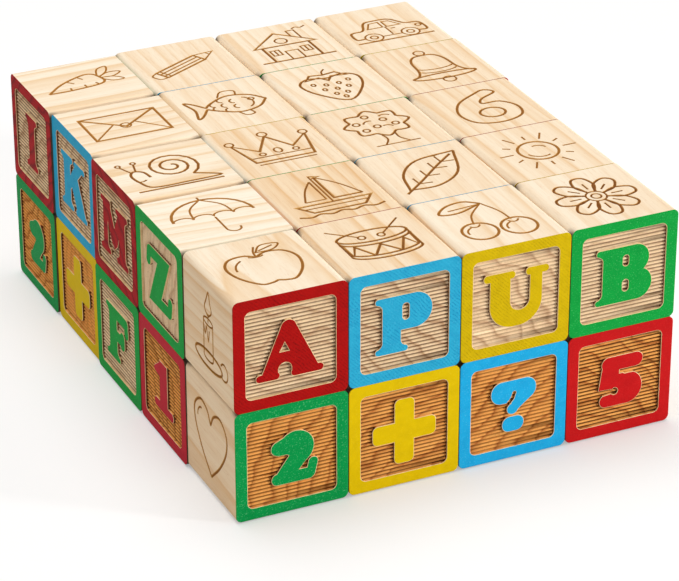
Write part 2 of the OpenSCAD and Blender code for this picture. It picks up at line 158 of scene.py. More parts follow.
# Pictures on the sides that show at the front left corner, and how warm the wood is there; the high warmth
# also darkens these shaded sides as painted shade
SIDE_PICTURES = {
    ("a", (-1, 0, 0)): ("candle", 0.75),
    ("t", (-1, 0, 0)): ("heart", 0.75),
}
# How dark the grooves between the ribs are on blocks that show their panel in the photograph
# The groove darkness is partly scorch from the cutter and partly painted shade in the grooves
GROOVES = {
    "a": 0.7, "p": 0.75, "u": 0.4, "b": 0.65,
    "t": 0.7, "v": 0.75, "w": 0.6, "x": 0.9,
    "i": 0.9, "k": 0.8, "m": 1.0, "z": 1.0,
    "d_second": 0.5, "t_second": 0.3, "f": 0.9, "y": 0.9,
}
PLAIN_GROOVE = 0.65


# Drawing with strokes, in millimetres about the middle of a side

def spline(*points, closed=False, steps=5):
    """A smooth line through the points."""
    p = [np.array(q, float) for q in points]
    n = len(p)
    out = []
    for i in range(n if closed else n - 1):
        a = p[i - 1] if closed or i > 0 else 2 * p[0] - p[1]
        b = p[i]
        c = p[(i + 1) % n]
        d = p[(i + 2) % n] if closed or i + 2 < n else 2 * p[-1] - p[-2]
        for k in range(steps):
            t = k / steps
            out.append(0.5 * (2 * b + (c - a) * t + (2 * a - 5 * b + 4 * c - d) * t * t
                              + (3 * b - a - 3 * c + d) * t ** 3))
    if not closed:
        out.append(p[-1])
    return (np.array(out), closed)


def path(*points):
    return (np.array(points, float), False)


def shape(*points):
    return (np.array(points, float), True)


def box(x0, y0, x1, y1):
    return shape((x0, y0), (x1, y0), (x1, y1), (x0, y1))


def oval(cx, cy, rx, ry=None, count=28):
    ry = rx if ry is None else ry
    a = np.linspace(0, 2 * math.pi, count, endpoint=False)
    return (np.stack([cx + rx * np.cos(a), cy + ry * np.sin(a)], 1), True)


def bow(cx, cy, rx, start, end, ry=None):
    """A piece of an oval, from one angle to another."""
    ry = rx if ry is None else ry
    count = max(5, int(abs(end - start) / 12))
    a = np.radians(np.linspace(start, end, count))
    return (np.stack([cx + rx * np.cos(a), cy + ry * np.sin(a)], 1), False)


def both(*strokes):
    """Strokes and then their mirror images."""
    return list(strokes) + [(p * np.array([-1.0, 1.0]), closed) for p, closed in strokes]


def turned(strokes, angle):
    a = math.radians(angle)
    m = np.array([[math.cos(a), math.sin(a)], [-math.sin(a), math.cos(a)]])
    return [(p @ m, closed) for p, closed in strokes]


def sun():
    strokes = [oval(0, 0, 4.6)]
    for i in range(12):
        a = 2 * math.pi * i / 12
        far = 9.4 if i % 2 == 0 else 7.9
        d = np.array([math.cos(a), math.sin(a)])
        strokes.append(path(6.1 * d, far * d))
    return strokes + [bow(0, 0, 3.2, 200, 300), bow(0.4, 0.3, 2.2, 20, 110)]


def star():
    a = [math.pi / 2 + math.pi * i / 5 for i in range(10)]
    r = [9.4, 3.9] * 5
    return [shape(*[(k * math.cos(t), k * math.sin(t)) for k, t in zip(r, a)]), oval(0, 0, 1.6)]


def heart():
    half = spline((0, 4), (1.8, 6.8), (5.2, 7.8), (8.4, 5.2), (8, 1), (4.6, -4), (0, -8.4))
    return both(half) + [bow(-4.6, 3.6, 2.2, 90, 190)]


def leaf():
    strokes = [
        spline((-8.6, -6.4), (-6.6, 1.2), (-1, 6.6), (8.8, 8)),
        spline((-8.6, -6.4), (-1.6, -6.6), (5, -2), (8.8, 8)),
        spline((-10, -8), (-4, -3), (2, 2.4), (7.4, 6.8)),
    ]
    for x, y in ((-5.4, -4.3), (-2.2, -1.3), (1, 1.5), (3.8, 3.9)):
        strokes += [path((x, y), (x - 0.2, y + 3)), path((x, y), (x + 3, y - 0.4))]
    return strokes


def tree():
    leaves = []
    for i in range(32):
        a = 2 * math.pi * i / 32
        r = 6.6 + 0.8 * math.cos(8 * a)
        leaves.append((1.08 * r * math.cos(a), 2.4 + 0.95 * r * math.sin(a)))
    strokes = [
        spline(*leaves, closed=True, steps=3), spline((-1.6, -3.8), (-1.4, -6.4), (-3, -9)),
        spline((1.6, -3.8), (1.5, -6.4), (3, -9)), path((-5.4, -9), (5.4, -9)),
    ]
    for x, y in ((-4.6, 3.4), (-1.2, 6.4), (2.2, 3.8), (4.0, 0.9), (-0.6, 0.8), (-3.8, -0.4)):
        strokes.append(oval(x, y, 0.8))
    return strokes + [bow(-1.4, 2.6, 1.6, 60, 170), bow(3.2, 4.6, 1.6, 30, 140), bow(1.4, -0.9, 1.6, 20, 110)]


def house():
    return [
        box(-6, -8, 6, 0.6), shape((-8, 0.6), (0, 8), (8, 0.6)), box(-1.6, -8, 1.6, -3),
        box(2.8, -4.6, 5, -1.6), box(-5, -4.6, -2.8, -1.6), *both(path((3.9, -4.6), (3.9, -1.6))),
        path((3.4, 4.9), (3.4, 8.2), (5.4, 8.2), (5.4, 3)), oval(0, 3.2, 1.5), path((-9.4, -8), (9.4, -8)),
        spline((5.2, 8.8), (6.4, 9.6), (7.6, 9), (9, 9.8)),
    ]


def sailboat():
    return [
        shape((-8.6, -4.2), (8.8, -4.2), (6, -7.8), (-6, -7.8)), path((0, -4.2), (0, 9.2)),
        spline((0.9, 8.4), (4.6, 3.6), (7.6, -2.6)), path((0.9, 8.4), (0.9, -2.6), (7.6, -2.6)),
        spline((-0.9, 6.6), (-3.6, 2.6), (-5.8, -2.6)), path((-0.9, 6.6), (-0.9, -2.6), (-5.8, -2.6)),
        spline((-10, -8.8), (-7.4, -9.6), (-5, -8.8), (-2.5, -9.6), (0, -8.8), (2.5, -9.6), (5, -8.8),
               (7.5, -9.6), (10, -8.8)),
        shape((0, 9.2), (2.4, 8.4), (0, 7.8)), path((-7.6, -5.8), (7.6, -5.8)),
    ]


def fish():
    strokes = [
        spline((8.6, 0), (5.6, 3.6), (0.6, 4.8), (-4, 2.4), (-6, 0.4)),
        spline((8.6, 0), (5.6, -3.4), (0.6, -4.6), (-4, -2.2), (-6, -0.4)),
        spline((-6, 0.4), (-8.2, 3.6), (-9.8, 4.6), (-8.8, 0), (-9.8, -4.6), (-8.2, -3.6), (-6, -0.4)),
        oval(5.4, 1.2, 0.7), bow(2.2, 0, 3.2, -62, 62), spline((-1.4, 4.8), (0.4, 7.4), (3.4, 7), (3, 4.4)),
        spline((0, -4.6), (1.2, -6.8), (3.2, -6.4), (2.8, -4.4)),
    ]
    for x, y in ((1.4, 1.6), (1.4, -1.4), (-1.2, 0), (-1.2, 2.8), (-1.2, -2.7), (-3.6, 1.1), (-3.6, -1.1)):
        strokes.append(bow(x, y, 1.1, 100, 260))
    return strokes


def flower():
    petal = spline((0.9, 2.3), (2.3, 5.4), (1.6, 8.6), (0, 9.4), (-1.6, 8.6), (-2.3, 5.4), (-0.9, 2.3))
    strokes = [oval(0, 0, 2.3), oval(0, 0, 1.1)]
    for i in range(8):
        strokes += turned([petal, path((0, 3.6), (0, 6.4))], 45 * i)
    return strokes


def tulip():
    return [
        spline((0, -0.6), (-3.4, 0.4), (-4.2, 4), (-3.6, 8.4), (-1.6, 5.6), (0, 8.8), (1.6, 5.6), (3.6, 8.4),
               (4.2, 4), (3.4, 0.4), (0, -0.6)),
        path((-0.3, -0.8), (-0.3, -9)), path((0.5, -0.8), (0.5, -9)),
        spline((-0.3, -8.6), (-4.6, -6.4), (-5.6, -1.6), (-2, -4.4), (-0.3, -7.6)),
        spline((0.5, -8.6), (4.8, -6.4), (5.8, -1.6), (2.2, -4.4), (0.5, -7.6)),
    ]


def apple():
    half = spline((0, 4.4), (2.6, 5.8), (6.2, 5), (8, 1.4), (7, -3.4), (4, -7.4), (1.6, -7.6), (0, -7))
    return both(half) + [
        spline((0, 4.2), (0.2, 6.4), (1.2, 8.8)),
        spline((0.6, 6.2), (2.8, 9), (6.6, 8.6), (4.6, 6.4), (0.6, 6.2)),
        bow(-1.2, -0.4, 5, 120, 180), bow(0, 5.4, 2, 215, 325, 1.2), path((1.6, 6.8), (5.2, 8.2)),
    ]


def umbrella():
    strokes = [bow(0, 0, 9.2, 0, 180, 8.4), path((0, 8.4), (0, 9.8)), path((0, -0.6), (0, -6.8)),
               bow(1.6, -6.8, 1.6, 180, 370)]
    for x in (-6.9, -2.3, 2.3, 6.9):
        strokes.append(bow(x, 0, 2.3, 0, 180, 1.5))
    return strokes + both(spline((-4.6, 0.2), (-3.6, 4.8), (0, 8.4)))


def cloud():
    strokes = [
        spline((-7, -1.4), (-9.4, 1), (-7.6, 3.8), (-4.8, 3.6), (-3.4, 6.8), (1, 7.4), (3.4, 4.6), (6.4, 5),
               (9, 2.4), (7.4, -1.4)),
        path((-7, -1.4), (7.4, -1.4)),
    ]
    for x, y in ((-5.6, -3), (-1.6, -3.8), (2.4, -3), (6.4, -3.8), (0, -7.2), (4.4, -7), (-4, -7)):
        strokes.append(path((x, y), (x - 1.2, y - 2.8)))
    return strokes


def bell():
    side = spline((0, 7), (2.6, 6.4), (4.2, 3.6), (4.8, -1.6), (6, -4.2), (8, -5.4))
    return both(side) + [
        bow(0, -5.4, 8, 180, 360, 1.7), bow(0, -5.4, 8, 0, 180, 1.2), oval(0, 8.3, 1.3), oval(0, -8, 1.5),
        bow(0, -1.8, 4.8, 200, 340, 1.6), bow(0, 0, 4.6, 200, 340, 1.6),
    ]


def cherries():
    return [
        oval(-4.4, -4.6, 3.9), oval(4.4, -5.4, 3.9), spline((-4.2, -1.2), (-2.6, 3), (1.6, 7.4)),
        spline((4.2, -2), (3.6, 2.6), (1.6, 7.4)),
        spline((1.6, 7.4), (-1.6, 9.6), (-6, 8.8), (-8.8, 5.8), (-4.6, 5), (1.6, 7.4)),
        path((1, 7.2), (-6.4, 6.6)), bow(-4.6, -4.8, 2.5, 110, 190), bow(4.2, -5.6, 2.5, 110, 190),
        bow(-4.3, -1.4, 1.2, 200, 340), bow(4.4, -2.2, 1.2, 200, 340),
    ]


def snail():
    coil = []
    for i in range(40):
        a = math.radians(-60 + 22 * i)
        r = 6.2 - 0.14 * i
        coil.append((1.4 + r * math.cos(a), 1.2 + r * math.sin(a)))
    return [
        path(*coil),
        spline((4.4, -4.2), (8, -6), (9.4, -7.4), (2, -7.6), (-6, -7.4), (-8, -4), (-8.6, -0.4), (-7.4, 1.6),
               (-5.4, 0.6), (-4.8, -2.4)),
        path((-8, 1.4), (-9.4, 5)), path((-6.8, 1.6), (-6, 5.2)), oval(-9.5, 5.5, 0.55),
        oval(-5.9, 5.7, 0.55), bow(-7.4, -2.2, 1.6, 230, 320), path((-10, -8.6), (9.8, -8.6)),
    ]


def pencil():
    return turned([
        box(-8.4, -1.9, 5, 1.9), path((5, 1.9), (9.8, 0), (5, -1.9)), path((-8.4, 0.6), (5, 0.6)),
        path((-8.4, -0.7), (5, -0.7)), path((8, 0.7), (8, -0.7)),
        spline((-8.4, 1.9), (-10.2, 1.4), (-10.6, 0), (-10.2, -1.4), (-8.4, -1.9)),
        path((-7.2, 1.9), (-7.2, -1.9)),
    ], 28)


def book():
    page = [spline((0, 4.6), (2.8, 6), (6, 5.8), (9, 5)), path((9, 5), (9, -6)),
            spline((0, -6.2), (2.8, -4.8), (6, -5), (9, -6))]
    for y in (3.2, 1.2, -0.8, -2.8):
        page.append(spline((1.6, y - 0.2), (3.6, y + 0.6), (7.4, y)))
    page += [spline((0, -7.4), (3, -6), (6.4, -6.2), (10, -7.2)), path((10, -7.2), (10, 4.2))]
    return both(*page) + [path((0, 4.6), (0, -7.4))]


def candle():
    return both(path((-2.4, -5.6), (-2.4, 2.6))) + [
        oval(0, 2.6, 2.4, 0.8), path((0, 2.6), (0, 4.4)),
        spline((0, 3.8), (-1.7, 5.4), (-0.8, 7.6), (0.4, 9.6), (1, 7.4), (1.8, 5.4), (0, 3.8)),
        spline((-2.4, 1.4), (-1.6, -0.6), (-0.9, 1.2), (0, -1.8), (0.6, 0.8)), oval(0, -6.2, 7, 1.9),
        bow(0, -5.6, 2.4, 180, 360, 0.8), bow(8, -5.4, 1.9, -130, 150),
    ]


def drum():
    strokes = [oval(0, 3.4, 8, 2.6)] + both(path((-8, 3.4), (-8, -4.4)))
    for y in (-4.4, -3, 2):
        strokes.append(bow(0, y, 8, 180, 360, 2.6))
    zigzag = []
    for i in range(9):
        a = math.radians(180 + 22.5 * i)
        level = 1.6 if i % 2 == 0 else -3
        zigzag.append((8 * math.cos(a), level + 2.6 * math.sin(a)))
    return strokes + [
        path(*zigzag), path((-3, 3.6), (-8.6, 8.4)), path((2.6, 3.4), (8.4, 8.8)), oval(-2.4, 3.1, 0.8),
        oval(2, 2.9, 0.8),
    ]


def hat():
    return [
        oval(0, -4, 9.4, 2.6),
        spline((-5.4, -3), (-5.2, 3), (-4, 6), (-1.6, 5.4), (0, 5.8), (1.6, 5.4), (4, 6), (5.2, 3),
               (5.4, -3)),
        bow(0, -2.6, 5.4, 180, 360, 1.6), bow(0, -0.4, 5.4, 180, 360, 1.6),
        spline((-1.6, 5.4), (0, 4), (1.6, 5.4)),
    ]


def ice_cream():
    drips = [(1.2 * i, -0.4 if i % 2 == 0 else -1.6) for i in range(-3, 4)]
    return [
        path((-4.4, -0.6), (0, -9.8), (4.4, -0.6)), bow(0, 1.6, 5.2, -25, 205, 4.4),
        bow(0, 5.8, 3.4, -10, 190, 3.4), spline((-4.8, -0.2), *drips, (4.8, -0.2)),
        *both(path((-3.2, -2.6), (1.4, -7)), path((-0.6, -1.8), (2.4, -5))), oval(0, 9.4, 0.9),
    ]


def balloon():
    return [
        oval(0, 3.2, 5.6, 6.4), shape((-0.9, -4.4), (0.9, -4.4), (0, -3.1)),
        bow(-0.4, 3.6, 3.8, 110, 180, 4.4), spline((0, -4.4), (1.4, -6), (-0.8, -7.4), (0.8, -9.8)),
    ]


def car():
    wheels = []
    for x in (-4.8, 4.8):
        wheels += [oval(x, -4.4, 2.2), oval(x, -4.4, 0.9)]
    return wheels + [
        spline((-7.2, -4.4), (-9.2, -4.2), (-9.2, -0.8), (-8, 0), (-5.6, 0.4), (-3.6, 4.4), (-1, 5),
               (3, 4.6), (5.6, 1), (8.6, 0.4), (9.4, -1.6), (9.2, -4.4), (7.2, -4.4)),
        path((-2.5, -4.6), (2.5, -4.6)), shape((-4.2, 0.6), (-2.6, 3.6), (-0.2, 3.8), (-0.2, 0.6)),
        shape((0.8, 0.6), (0.8, 3.8), (2.6, 3.6), (4.4, 0.6)), path((0.3, 0.6), (0.3, -4.2)),
        path((1.2, -0.8), (2.4, -0.8)), oval(8.2, -1.4, 0.7), path((-10, -6.8), (10, -6.8)),
    ]


def crown():
    return [
        shape((-7, -5.6), (7, -5.6), (8.8, 4.4), (4, -0.4), (0, 6.6), (-4, -0.4), (-8.8, 4.4)),
        oval(-8.9, 5.5, 1), oval(8.9, 5.5, 1), oval(0, 7.8, 1.1), path((-7, -3.4), (7, -3.4)),
        oval(0, -1.2, 0.9, 1.2), oval(-4, -2, 0.7), oval(4, -2, 0.7), path((-6.8, -7), (6.8, -7)),
    ]


def anchor():
    arm = spline((0, -8), (4, -7.2), (6.8, -4), (7.4, -1.2))
    barb = shape((7.5, 1.2), (9.2, -2.6), (5.4, -2))
    under = spline((0, -9.6), (4.8, -8.4), (7.8, -5))
    shank = [oval(0, 7.6, 1.7), path((0, 5.9), (0, -8)), path((-4.2, 3.6), (4.2, 3.6))]
    return shank + both(arm) + both(barb) + both(under)


def rocket():
    side = spline((0, 9.6), (2.8, 6), (3.4, 1.6), (2.8, -4.4))
    fin = spline((3.2, -0.6), (5.8, -3.4), (6, -7), (2.8, -4.6))
    return both(side) + [path((-2.8, -4.4), (2.8, -4.4))] + both(fin) + [
        oval(0, 3, 1.6), oval(0, 3, 0.8), spline((-1.8, -4.6), (-2, -7), (0, -9.8), (2, -7), (1.8, -4.6)),
        bow(0, 7, 2.2, 200, 340, 0.7),
    ]


def envelope():
    return [box(-9, -6, 9, 6), path((-9, 6), (0, -1), (9, 6)), *both(path((-9, -6), (-2.6, 0.8))),
            oval(0, -0.4, 1.2)]


def carrot():
    return turned([
        spline((-9.6, -0.2), (-4, 2.4), (2.4, 3.4), (4.8, 2.4), (5.2, 0), (4.8, -2.4), (2.4, -3.2), (-4, -2),
               (-9.6, -0.2)),
        path((-2.4, 2.6), (-1.6, 0.8)), path((1, 3.2), (1.4, 1.4)), path((-4.4, -2), (-3.8, -0.6)),
        path((-0.6, -2.8), (-0.2, -1.2)), path((2.6, -3), (2.6, -1.8)),
        spline((5, 0.8), (7.4, 3.8), (10, 4), (8.4, 1.6), (5.2, 0)),
        spline((5.2, 0.2), (8.4, 0.8), (10.8, -0.6), (8, -1.6), (5.2, -0.4)),
        spline((5.2, -0.4), (7.8, -1.8), (9, -4.4), (6.4, -3.6), (5, -1.2)),
    ], 18)


def acorn():
    return [
        bow(0, 1, 6.6, 0, 180, 5), bow(0, 1, 6.6, 180, 360, 1.4),
        spline((-5.6, 0), (-5, -5), (0, -9.4), (5, -5), (5.6, 0)), spline((0, 6), (0.2, 8), (1.4, 9.4)),
        *both(path((-4.6, 4.4), (-1, 0.2)), path((-1.4, 5.8), (3, 0.2))), path((0, -8.2), (0, -9.4)),
    ]


def strawberry():
    body = [(0, 4.4), (4.6, 5.4), (7.4, 2.4), (5.6, -3.4), (0, -9), (-5.6, -3.4), (-7.4, 2.4), (-4.6, 5.4)]
    strokes = [
        spline(*body, closed=True),
        shape((0, 3), (1.6, 5.2), (5.2, 4.4), (3.2, 7), (0, 6.4), (-3.2, 7), (-5.2, 4.4), (-1.6, 5.2)),
        spline((0, 6.4), (0.4, 8), (1.6, 9.4)),
    ]
    for x, y in ((-4.4, 1.8), (-1.6, 0.8), (1.6, 0.8), (4.4, 1.8), (-3, -1.6), (0, -2), (3, -1.6),
                 (-1.4, -4.6), (1.4, -4.6), (0, -6.8)):
        strokes.append(oval(x, y, 0.5, 0.7, 8))
    return strokes


def mitten():
    return [
        spline((-3.6, -3.4), (-4.6, 2), (-4.2, 7), (-1, 9.2), (2, 7.6), (3, 3.4), (4.6, 4.8), (7, 4),
               (6.6, 1.4), (4, -1.2), (3.4, -3.4)),
        box(-4.4, -3.4, 4.2, -8), *[path((x, -3.4), (x, -8)) for x in (-2.2, 0, 2.1)],
        shape((-0.8, 1.6), (1.2, 3.6), (-0.8, 5.6), (-2.8, 3.6)),
    ]


def six():
    outer = [(4.2, 8.8), (1.2, 7.6), (-4.4, 4), (-7, -1.6), (-5.2, -7), (0.4, -8.8), (6, -7), (7.4, -2.4),
             (4.8, 1.6), (0.6, 2), (1.6, 4.4), (6, 6.8)]
    return [spline(*outer, closed=True), oval(0.6, -3.2, 3, 2.5)]


PICTURES = {f.__name__: f for f in (
    sun, star, heart, leaf, tree, house, sailboat, fish, flower, tulip, apple, umbrella, cloud, bell,
    cherries, snail, pencil, book, candle, drum, hat, ice_cream, balloon, car, crown, anchor, rocket,
    envelope, carrot, acorn, strawberry, mitten, six,
)}
NAMES = list(PICTURES)


# Burnt lines as real grooves in a flat side

def edge_ways(p, closed, least):
    """For each point of a line, the way to an edge one millimetre to its left, and the line's directions
    before and after it. A smaller least value lets sharp corners reach further."""
    after = np.roll(p, -1, 0) - p
    if not closed:
        after[-1] = after[-2]
    after /= np.linalg.norm(after, axis=1)[:, None]
    before = np.roll(after, 1, 0)
    if not closed:
        before[0] = after[0]
    n1 = np.stack([-before[:, 1], before[:, 0]], 1)
    n2 = np.stack([-after[:, 1], after[:, 0]], 1)
    return (n1 + n2) / np.maximum(1 + (n1 * n2).sum(1), least)[:, None], before, after


def round_end(at, direction, half):
    """Points round the end of a line that runs that way."""
    a = math.atan2(-direction[0], direction[1]) + np.array([0.25, 0.5, 0.75]) * math.pi
    return at - half * np.stack([np.cos(a), np.sin(a)], 1)


def outline(points, closed, half):
    """The edges of a line of that half width: one ring round an open line, or two along a closed one."""
    keep = [points[0]]
    for q in points[1:]:
        if np.linalg.norm(q - keep[-1]) > SAME_IN_LINE:
            keep.append(q)
    if closed and np.linalg.norm(keep[0] - keep[-1]) < SAME_IN_LINE:
        keep.pop()
    p = np.array(keep)
    way, before, after = edge_ways(p, closed, LINE_CORNER)
    left = p + half * way
    right = p - half * way
    if closed:
        return [left, right]
    end = round_end(p[-1], after[-1], half)
    begin = round_end(p[0], -before[0], half)
    return [np.vstack([right, end, left[::-1], begin])]


def half_width(p):
    """Half the width of a line: long ones are burnt wider than short ones."""
    long = np.linalg.norm(np.diff(p, axis=0), axis=1).sum() > LONG_STROKE
    return (THICK_LINE if long else THIN_LINE) / 2


def reach_into(strokes, points):
    """How far each point lies inside a line: 0 at its edge, 1 at its middle, and less than 0 outside."""
    best = np.full(len(points), -1e9)
    for p, closed in strokes:
        a = p
        b = np.roll(p, -1, 0)
        if not closed:
            a = a[:-1]
            b = b[:-1]
        d = b - a
        length = np.maximum((d * d).sum(1), 1e-12)
        t = ((points[:, None, :] - a[None]) * d[None]).sum(2) / length
        near = a[None] + np.clip(t, 0, 1)[..., None] * d[None]
        away = np.linalg.norm(points[:, None, :] - near, axis=2).min(1)
        best = np.maximum(best, 1 - away / half_width(p))
    return best


def ring_edges(first, count):
    return [(first + i, first + (i + 1) % count) for i in range(count)]


engraved_sides = {}


def engraved_side(name, half_x, half_y):
    """Points, depths, triangles, which of these are burnt, and the corners, for a side with a picture."""
    key = (name, round(half_x, 3), round(half_y, 3))
    if key in engraved_sides:
        return engraved_sides[key]
    strokes = [(PICTURE_SCALE * p, closed) for p, closed in PICTURES[name]()]
    points = [(-half_x, -half_y), (half_x, -half_y), (half_x, half_y), (-half_x, half_y)]
    edges = ring_edges(0, 4)
    for p, closed in strokes:
        for share in (1.0, LINE_BOTTOM):
            for ring in outline(p, closed, share * half_width(p)):
                edges += ring_edges(len(points), len(ring))
                points += [tuple(q) for q in ring]
    found = delaunay_2d_cdt([Vector(q) for q in points], edges, [], 0, 1e-4)
    place = np.array([(v.x, v.y) for v in found[0]])
    triangles = np.array([list(f) for f in found[2]])
    depth = LINE_DEEP * np.clip(reach_into(strokes, place) / (1 - LINE_BOTTOM), 0, 1)
    depth[depth < BURN_START] = 0
    burnt = reach_into(strokes, place[triangles].mean(1)) > BURN_START
    depth[np.unique(triangles[~burnt])] = 0
    corners = [next(i for i, source in enumerate(found[3]) if k in source) for k in range(4)]
    engraved_sides[key] = (place, depth, triangles, burnt, corners)
    return engraved_sides[key]


# Building the blocks from the solids

def region_loops(faces):
    """Rings of vertices round a set of faces, with the faces on the left."""
    inside = set(faces)
    after = {}
    for f in faces:
        for loop in f.loops:
            if sum(1 for g in loop.edge.link_faces if g in inside) == 1:
                after.setdefault(loop.vert, []).append(loop.link_loop_next.vert)
    rings = []
    while after:
        start = next(iter(after))
        ring = [start]
        v = after[start].pop()
        if not after[start]:
            del after[start]
        while v is not start:
            ring.append(v)
            nexts = after[v]
            w = nexts.pop()
            if not nexts:
                del after[v]
            v = w
        rings.append(ring)
    return rings


def inside_rings(points, rings):
    """Which points lie inside an odd number of rings."""
    odd = np.zeros(len(points), bool)
    for ring in rings:
        a = np.array(ring)
        b = np.roll(a, -1, 0)
        for (x0, y0), (x1, y1) in zip(a, b):
            if y0 == y1:
                continue
            crosses = (points[:, 1] > min(y0, y1)) & (points[:, 1] <= max(y0, y1))
            at = x0 + (points[:, 1] - y0) * (x1 - x0) / (y1 - y0)
            odd ^= crosses & (points[:, 0] < at)
    return odd


# Material slots of a block
WOOD, LETTER_PAINT, SIGN_PAINT, BARE, LETTER_PANEL, SIGN_PANEL, BURNT, LETTER_WALL, SIGN_WALL = range(9)


def wear_end(bm, side):
    """Takes the sharp edges off the painted faces of one end, so that a line of bare wood shows."""
    top = [f for f in bm.faces if f.normal.z * side > FACES_END
           and all(abs(v.co.z - side * END) < ON_PLANE for v in f.verts)]
    rings = region_loops(top)
    bmesh.ops.delete(bm, geom=top, context="FACES_KEEP_BOUNDARY")
    paint = LETTER_PAINT if side > 0 else SIGN_PAINT
    inner_rings = []
    flat_points = []
    flat_verts = []
    flat_edges = []
    for ring in rings:
        p = np.array([(v.co.x, v.co.y) for v in ring])
        inner = p + WORN_WIDE * side * edge_ways(p, True, EDGE_CORNER)[0]
        made = [bm.verts.new((x, y, side * END)) for x, y in inner]
        for v in ring:
            v.co.z = side * (END - WORN_DEEP)
        outermost = np.abs(p).max() > HALF - JUST_INSIDE
        for i, k in ring_edges(0, len(ring)):
            face = bm.faces.new((ring[i], ring[k], made[k], made[i]))
            face.material_index = paint if outermost else BARE
        flat_edges += ring_edges(len(flat_points), len(ring))
        flat_points += [tuple(q) for q in inner]
        flat_verts += made
        inner_rings.append(inner)
    found = delaunay_2d_cdt([Vector(q) for q in flat_points], flat_edges, [], 0, 1e-5)
    place = np.array([(v.x, v.y) for v in found[0]])
    verts = []
    for (x, y), source in zip(place, found[3]):
        verts.append(flat_verts[source[0]] if source else bm.verts.new((x, y, side * END)))
    triangles = np.array([list(f) for f in found[2]])
    inside = inside_rings(place[triangles].mean(1), inner_rings)
    for t in triangles[inside]:
        corners = [verts[i] for i in t]
        a, b, c = (v.co for v in corners)
        if (b - a).cross(c - a).z * side < 0:
            corners.reverse()
        if bm.faces.get(corners) is None:
            face = bm.faces.new(corners)
            face.material_index = paint


def engrave(bm, normal, right, up, picture):
    """Swaps one flat side of the block for the same side with a burnt picture."""
    old = [f for f in bm.faces if f.normal.dot(normal) > FACES_SIDE
           and all(abs(v.co.dot(normal) - HALF) < ON_PLANE for v in f.verts)]
    corners = {v for ring in region_loops(old) for v in ring}
    assert len(corners) == 4, len(corners)
    bmesh.ops.delete(bm, geom=old, context="FACES_KEEP_BOUNDARY")
    half_x = max(v.co.dot(right) for v in corners)
    half_y = max(v.co.dot(up) for v in corners)
    place, depth, triangles, burnt, corner_ids = engraved_side(picture, half_x, half_y)
    verts = []
    for (x, y), d in zip(place.tolist(), depth.tolist()):
        verts.append((HALF - d) * normal + x * right + y * up)
    made = {}
    for i in corner_ids:
        made[i] = min(corners, key=lambda v: (v.co - verts[i]).length)
    for i in range(len(verts)):
        if i not in made:
            made[i] = bm.verts.new(verts[i])
    for t, dark in zip(triangles, burnt):
        face = bm.faces.new([made[i] for i in t])
        face.material_index = BURNT if dark else WOOD
        face.smooth = bool(dark)


def sort_old_faces(bm, upright_ribs):
    """Gives each face of the solid its material by where it lies.
    The cutter turns round at the ends of the ribs, so walls there are burnt. Walls along them are pale."""
    for f in bm.faces:
        c = f.calc_center_median()
        across = abs(f.normal.y if upright_ribs else f.normal.x)
        in_panel = max(abs(c.x), abs(c.y)) < FLAT - PANEL_MARGIN
        if in_panel and abs(f.normal.z) > FACES_OUT and abs(c.z) < END - JUST_INSIDE:
            f.material_index = LETTER_PANEL if c.z > 0 else SIGN_PANEL
        elif in_panel and across > FACES_ACROSS:
            f.material_index = LETTER_WALL if c.z > 0 else SIGN_WALL
        elif in_panel:
            f.material_index = BARE if c.z > 0 else SIGN_PANEL
        else:
            f.material_index = WOOD
        f.smooth = True


def has_neighbour(index, direction):
    """Whether another block or the ground lies against that side of a block at rest."""
    layer, place = divmod(index, COLUMNS * ROWS)
    row, column = divmod(place, COLUMNS)
    dx, dy, dz = direction
    if dz:
        return dz < 0 or layer == 1
    return 0 <= column + dx < COLUMNS and 0 <= row + dy < ROWS


def burn_pictures(bm, index, to_row, rng):
    """Burns a picture into each plain side. Gives how dark the lines are, and for each side its direction,
    how warm its wood is and whether it faces a neighbour."""
    short = LAYOUT[index][0]
    turn = to_row.to_3x3()
    back = turn.inverted()
    burn = rng.uniform(0.3, 0.85)
    warm = rng.uniform(0.1, 0.6)
    sides = []
    for k, (x, y) in enumerate(((0, 1), (1, 0), (-1, 0), (0, -1))):
        normal = Vector((x, y, 0))
        outward = tuple(int(round(c / MM)) for c in turn @ normal)
        # Steps that give the blocks next to each other different pictures
        picture = NAMES[(5 * index + 9 * k + 3) % len(NAMES)]
        tone = min(1, max(0, warm + rng.uniform(-0.15, 0.15)))
        if (short, outward) in SIDE_PICTURES:
            picture, tone = SIDE_PICTURES[short, outward]
        if k == 0 and short in TOP_PICTURES:
            picture, burn, tone = TOP_PICTURES[short]
        sides.append((normal, tone, has_neighbour(index, outward)))
        row_up = Vector((0, 1, 0)) if abs(outward[2]) == 1 else UP
        row_right = row_up.cross(Vector(outward))
        engrave(bm, normal, (back @ row_right).normalized(), (back @ row_up).normalized(), picture)
    return burn, sides


def grain_of(local, short, rng):
    """Where each point of a block sat in its tree, and how clear the rings are.
    The rings turn about a pith outside the block, and the fibres lean a little."""
    drawn = (rng.uniform(0, 360), rng.uniform(22, 70), rng.uniform(0.1, 0.9))
    side, away, clear = RINGS.get(short, drawn)
    side = math.radians(side)
    lean = (rng.uniform(-0.05, 0.05), rng.uniform(-0.05, 0.05))
    along = rng.uniform(0, 900)
    x, y, z = local.T
    x = x + lean[0] * z + away * math.cos(side)
    y = y + lean[1] * z + away * math.sin(side)
    return (x, y, z + along), clear


def side_looks(local, sides):
    """How warm the wood is, and how far it faces a neighbour, which is where shade is painted, blended round
    the rounded edges.
    """
    beyond = local[:, :2] - np.clip(local[:, :2], -FLAT, FLAT)
    beyond /= np.maximum(np.linalg.norm(beyond, axis=1), 1e-6)[:, None]
    tones = np.zeros(len(local))
    hidden = np.zeros(len(local))
    for normal, tone, covered in sides:
        share = np.clip(beyond @ np.array(normal[:2]), 0, 1) ** 2
        tones += share * tone
        hidden += share * covered
    return tones, hidden


